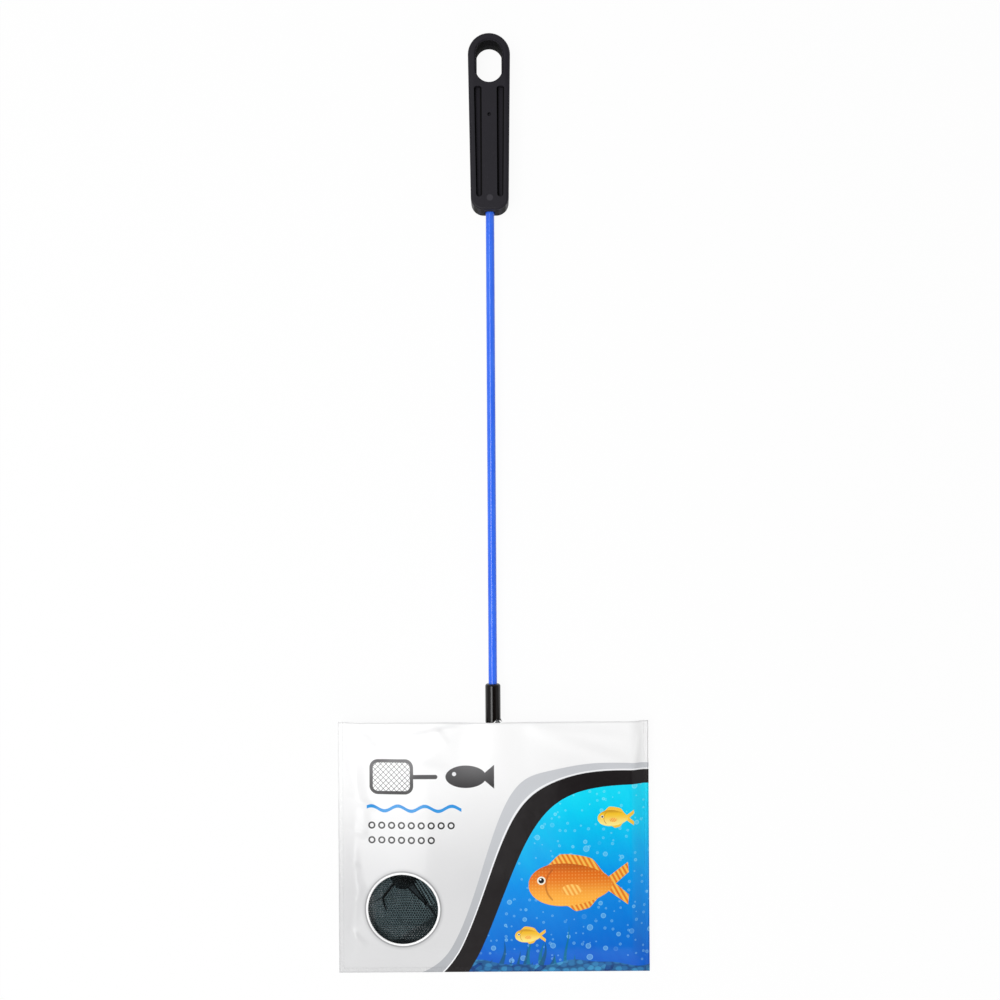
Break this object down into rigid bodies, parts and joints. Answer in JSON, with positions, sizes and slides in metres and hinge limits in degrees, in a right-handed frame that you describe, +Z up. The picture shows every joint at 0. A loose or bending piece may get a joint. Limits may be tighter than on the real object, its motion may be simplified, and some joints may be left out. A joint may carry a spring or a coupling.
{
  "type": "aquarium fish net",
  "caption": "Long-handled fish net: moulded grip with hang hole on a coated rod, wire hoop with folded netting pocket, inside a flat film bag that slides off.",
  "frame": {"origin": "middle of the whole length and width of the object with its bag on, on the table that it lies on", "axes": "+Y up the handle towards the hang hole, +Z up from the table towards the bag's printed front, +X to the right as seen from the front"},
  "size_m": [0.1384, 0.416, 0.012],
  "materials": {
    "grip_plastic": "fine satin moulding, near black",
    "rod_steel": "drawn wire",
    "rod_vinyl": "smooth glossy vinyl, royal blue",
    "collar_plastic": "polished, black",
    "weld_steel": "bare weld beads",
    "hoop_steel": "drawn wire",
    "hoop_vinyl": "dipped vinyl, black",
    "hem_tape": "woven tape folded over the wire and sewn",
    "netting": "fine knotted nylon netting, slate",
    "seam_thread": "overlocked seam, black thread",
    "printed_film": "thin glossy film, printed white",
    "clear_film": "clear glossy film",
    "back_film": "thin glossy film, white"
  },
  "bodies": {
    "net": {"grip": "grip_plastic", "rod_core": "rod_steel", "rod_coating": "rod_vinyl", "collar": "collar_plastic", "spot_welds": "weld_steel", "hoop_wire": "hoop_steel", "hoop_coating": "hoop_vinyl", "hem": "hem_tape", "pocket_netting": "netting", "seam_left": "seam_thread", "seam_right": "seam_thread", "gather_left": "netting", "gather_right": "netting"},
    "bag": {"bag_front": "printed_film", "bag_window": "clear_film", "bag_back": "back_film"}
  },
  "joints": [
    {"name": "bag_slide", "type": "slide", "parent": "net", "child": "bag", "axis": [0, -1, 0], "range_m": [0, 0.108]}
  ]
}
